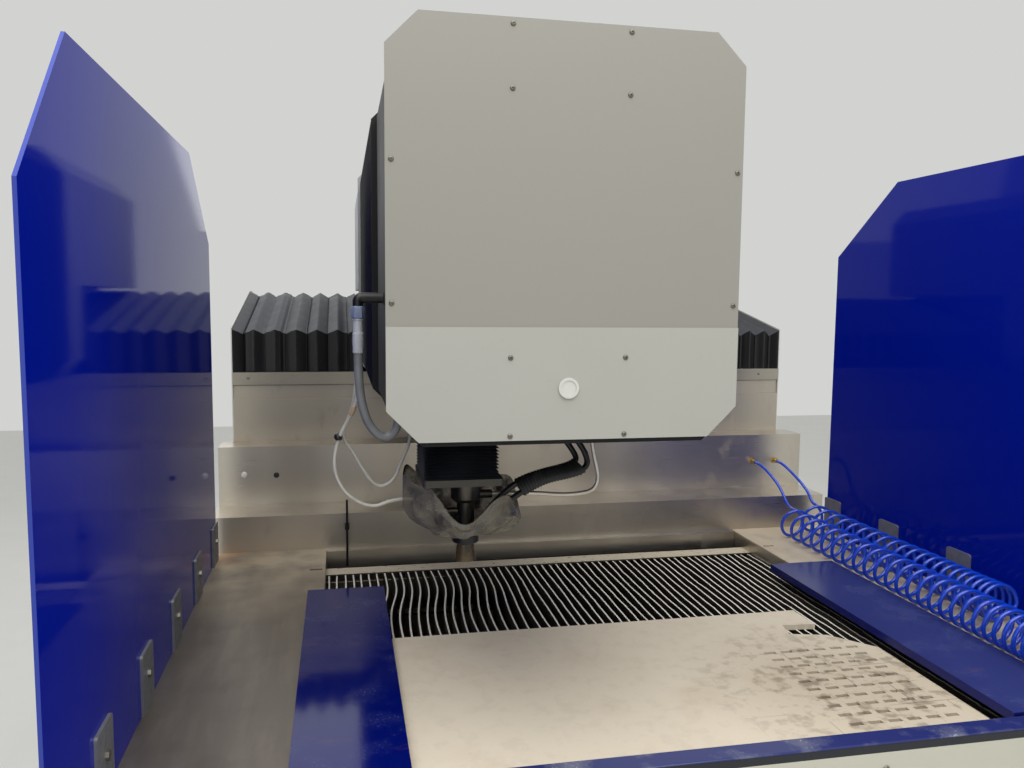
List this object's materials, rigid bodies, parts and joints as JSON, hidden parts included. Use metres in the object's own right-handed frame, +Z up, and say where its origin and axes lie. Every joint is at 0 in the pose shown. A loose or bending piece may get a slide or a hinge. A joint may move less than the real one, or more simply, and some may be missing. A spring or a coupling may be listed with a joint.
{
  "type": "waterjet cutting machine",
  "caption": "Compact cantilever waterjet cutting machine: slatted water tank, blue side guards, stepped splash, bellows-covered beam and arm, lifting cutting head.",
  "frame": {"origin": "floor level, at the middle of the machine's outer box", "axes": "+Z up, +Y from the operator's side to the beam, +X to the operator's right"},
  "size_m": [1.85, 2.307, 2.014],
  "materials": {
    "stainless": "brushed",
    "deck_steel": "worn",
    "slat_steel": "worn",
    "frame_paint": "satin",
    "blue_paint": "gloss",
    "fastener_steel": "satin",
    "board": "matt",
    "fitting_brass": "satin",
    "black_paint": "satin",
    "rail_steel": "ground",
    "motor_case": "satin",
    "bellows_cloth": "satin",
    "arm_aluminium": "satin",
    "plate_paint": "satin",
    "plug_plastic": "satin",
    "head_steel": "satin",
    "black_plastic": "matt",
    "cup_plastic": "translucent",
    "bag_plastic": "clear",
    "blue_hose": "gloss",
    "coupling_steel": "satin",
    "conduit_plastic": "satin",
    "fitting_plastic": "satin",
    "white_hose": "satin",
    "tube_steel": "satin",
    "black_hose": "matt"
  },
  "bodies": {
    "base": {"tank_shell": "stainless", "machine_frame": "frame_paint", "leveling_feet": "fastener_steel", "decks": "deck_steel", "guard_tabs": "frame_paint", "left_guard": "blue_paint", "right_guard": "blue_paint", "guard_bolts": "fastener_steel", "front_rail": "blue_paint", "body_panels": "frame_paint", "slat_combs": "stainless", "slats": "slat_steel", "support_board": "board", "splash_plates": "blue_paint", "rear_splash": "stainless", "hose_fittings": "fitting_brass", "level_probe": "black_paint", "x_beam": "frame_paint", "beam_cover": "stainless", "beam_caps": "stainless", "x_rails": "rail_steel", "bellows_end_frames": "frame_paint", "x_bellows_left": "bellows_cloth", "x_bellows_right": "bellows_cloth", "air_hose": "blue_hose", "water_hose": "blue_hose", "air_hose_coil": "blue_hose", "water_hose_coil": "blue_hose", "air_coupling": "coupling_steel", "water_coupling": "coupling_steel"},
    "x_carriage": {"x_bearing_blocks": "rail_steel", "x_motor": "motor_case", "carriage_body": "frame_paint", "y_bearing_blocks": "rail_steel", "y_motor": "motor_case", "carriage_housing": "frame_paint", "y_bellows": "bellows_cloth"},
    "y_arm": {"ram": "arm_aluminium", "y_rails": "rail_steel", "head_housing": "black_paint", "front_plate": "plate_paint", "lower_plate": "plate_paint", "plate_screws": "fastener_steel", "plate_plug": "plug_plastic", "z_rails": "rail_steel", "z_actuator": "motor_case", "z_bellows": "bellows_cloth", "conduit_fitting": "fitting_plastic", "conduit": "conduit_plastic", "return_hose": "white_hose", "feed_hose": "white_hose", "pressure_tube": "tube_steel", "hose_bundle": "black_hose"},
    "z_head": {"z_slide": "arm_aluminium", "head_mount": "arm_aluminium", "valve_body": "head_steel", "mixing_tube": "head_steel", "nozzle_collar": "black_plastic", "nozzle_cup": "cup_plastic", "head_bag": "bag_plastic"}
  },
  "joints": [
    {"name": "x_travel", "type": "slide", "parent": "base", "child": "x_carriage", "axis": [1, 0, 0], "range_m": [-0.25, 0.84], "deforming": ["x_bellows_left", "x_bellows_right"]},
    {"name": "y_travel", "type": "slide", "parent": "x_carriage", "child": "y_arm", "axis": [0, 1, 0], "range_m": [-0.19, 0.76], "deforming": ["y_bellows"]},
    {"name": "z_travel", "type": "slide", "parent": "y_arm", "child": "z_head", "axis": [0, 0, 1], "range_m": [-0.203, 0], "deforming": ["z_bellows", "pressure_tube", "hose_bundle", "feed_hose"]}
  ]
}
